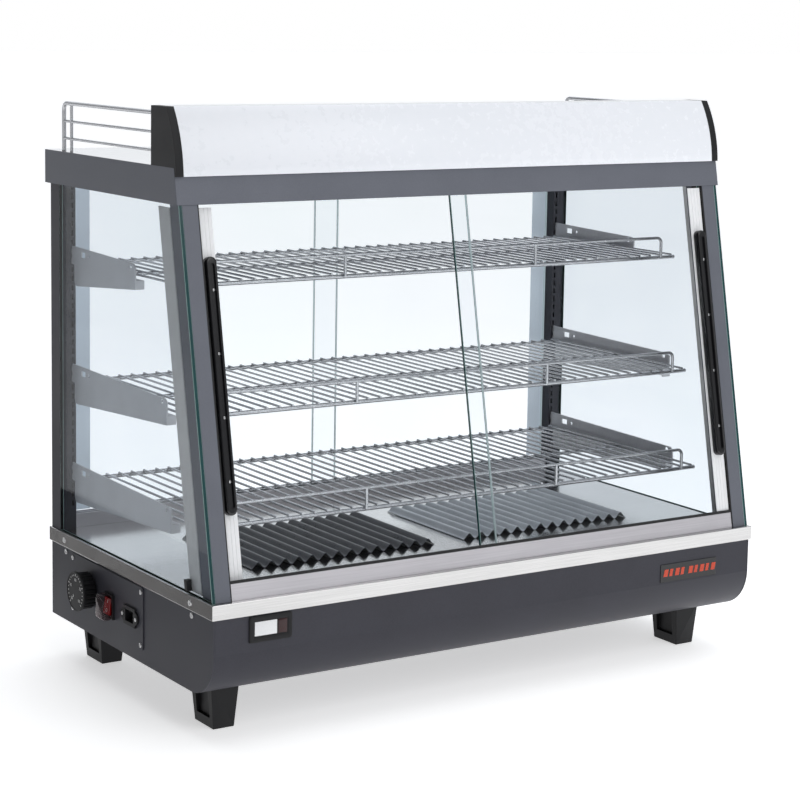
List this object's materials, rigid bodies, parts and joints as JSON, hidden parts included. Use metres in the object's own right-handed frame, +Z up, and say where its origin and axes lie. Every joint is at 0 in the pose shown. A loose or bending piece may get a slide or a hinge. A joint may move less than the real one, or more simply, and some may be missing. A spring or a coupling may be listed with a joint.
{
  "type": "hot food display case",
  "caption": "Countertop heated glass display case with a slanted front, sliding doors, wire shelves, a lit hood and side rails on its roof.",
  "frame": {"origin": "centre of the bounding box's base, on the plane the feet stand on", "axes": "+X along the width to the viewer's right, +Y from the front to the rear, +Z up"},
  "size_m": [0.9236, 0.51, 0.811],
  "materials": {
    "charcoal_steel": "dark grey powder coat with a fine texture",
    "grey_steel": "mid grey powder coat",
    "stainless_steel": "brushed stainless steel",
    "heater_sheet": "darkened corrugated steel",
    "aluminium": "anodised aluminium extrusion",
    "clear_glass": "clear toughened glass with green edges",
    "chrome_wire": "bright chrome-plated wire",
    "screw_steel": "nickel-plated screws",
    "black_plastic": "black moulded plastic",
    "handle_plastic": "glossy black moulded plastic",
    "white_plastic": "opal white plastic",
    "white_steel": "white painted sheet",
    "lamp_glass": "frosted white tube",
    "red_plastic": "translucent red rocker"
  },
  "bodies": {
    "case": {"base_front_panel": "charcoal_steel", "base_left_panel": "charcoal_steel", "base_right_panel": "charcoal_steel", "base_rear_panel": "charcoal_steel", "base_bottom_plate": "charcoal_steel", "front_left_foot": "black_plastic", "front_right_foot": "black_plastic", "rear_left_foot": "black_plastic", "rear_right_foot": "black_plastic", "floor_deck": "stainless_steel", "heating_elements": "chrome_wire", "terminal_block": "black_plastic", "control_plate": "charcoal_steel", "thermostat_body": "black_plastic", "power_switch_body": "black_plastic", "power_inlet": "black_plastic", "thermometer_display": "black_plastic", "badge_plate": "black_plastic", "case_screws": "screw_steel", "front_left_post": "grey_steel", "front_right_post": "grey_steel", "rear_left_post": "charcoal_steel", "rear_right_post": "charcoal_steel", "left_side_glass": "clear_glass", "right_side_glass": "clear_glass", "front_bottom_track": "aluminium", "front_top_track": "aluminium", "rear_bottom_track": "aluminium", "rear_top_track": "aluminium", "canopy_shell": "charcoal_steel", "roof_panel": "stainless_steel", "hood_left_cap": "black_plastic", "hood_right_cap": "black_plastic", "hood_sign_panel": "white_plastic", "hood_back_plate": "white_steel", "hood_lamp_tube": "lamp_glass", "left_gallery": "chrome_wire", "right_gallery": "chrome_wire", "shelf_brackets": "grey_steel"},
    "front_left_door": {"front_left_door_glass": "clear_glass", "front_left_door_stile": "white_plastic", "front_left_door_handle": "handle_plastic"},
    "rear_left_door": {"rear_left_door_glass": "clear_glass", "rear_left_door_stile": "aluminium"},
    "front_right_door": {"front_right_door_glass": "clear_glass", "front_right_door_stile": "white_plastic", "front_right_door_handle": "handle_plastic"},
    "rear_right_door": {"rear_right_door_glass": "clear_glass", "rear_right_door_stile": "aluminium"},
    "bottom_shelf": {"bottom_shelf": "chrome_wire", "bottom_shelf_rail": "chrome_wire"},
    "middle_shelf": {"middle_shelf": "chrome_wire", "middle_shelf_rail": "chrome_wire"},
    "top_shelf": {"top_shelf": "chrome_wire", "top_shelf_rail": "chrome_wire"},
    "thermostat_knob": {"thermostat_knob": "black_plastic"},
    "power_rocker": {"power_rocker": "red_plastic"},
    "left_heater_cover": {"left_heater_cover": "heater_sheet"},
    "right_heater_cover": {"right_heater_cover": "heater_sheet"}
  },
  "joints": [
    {"name": "front_left_door_slide", "type": "slide", "parent": "case", "child": "front_left_door", "axis": [1, 0, 0], "range_m": [0, 0.365]},
    {"name": "front_right_door_slide", "type": "slide", "parent": "case", "child": "front_right_door", "axis": [1, 0, 0], "range_m": [-0.365, 0]},
    {"name": "rear_left_door_slide", "type": "slide", "parent": "case", "child": "rear_left_door", "axis": [1, 0, 0], "range_m": [0, 0.38]},
    {"name": "rear_right_door_slide", "type": "slide", "parent": "case", "child": "rear_right_door", "axis": [1, 0, 0], "range_m": [-0.38, 0]},
    {"name": "bottom_shelf_lift", "type": "slide", "parent": "case", "child": "bottom_shelf", "axis": [0, 0, 1], "range_m": [0, 0.025]},
    {"name": "middle_shelf_lift", "type": "slide", "parent": "case", "child": "middle_shelf", "axis": [0, 0, 1], "range_m": [0, 0.025]},
    {"name": "top_shelf_lift", "type": "slide", "parent": "case", "child": "top_shelf", "axis": [0, 0, 1], "range_m": [0, 0.025]},
    {"name": "left_heater_cover_lift", "type": "slide", "parent": "case", "child": "left_heater_cover", "axis": [0, 0, 1], "range_m": [0, 0.04]},
    {"name": "right_heater_cover_lift", "type": "slide", "parent": "case", "child": "right_heater_cover", "axis": [0, 0, 1], "range_m": [0, 0.04]},
    {"name": "thermostat_knob_turn", "type": "hinge", "parent": "case", "child": "thermostat_knob", "pos_m": [-0.44975, 0.109, 0.127], "axis": [-1, 0, 0], "range_deg": [0, 270]},
    {"name": "power_rocker_tip", "type": "hinge", "parent": "case", "child": "power_rocker", "pos_m": [-0.43925, 0.045, 0.119], "axis": [0, -1, 0], "range_deg": [0, 18]}
  ]
}
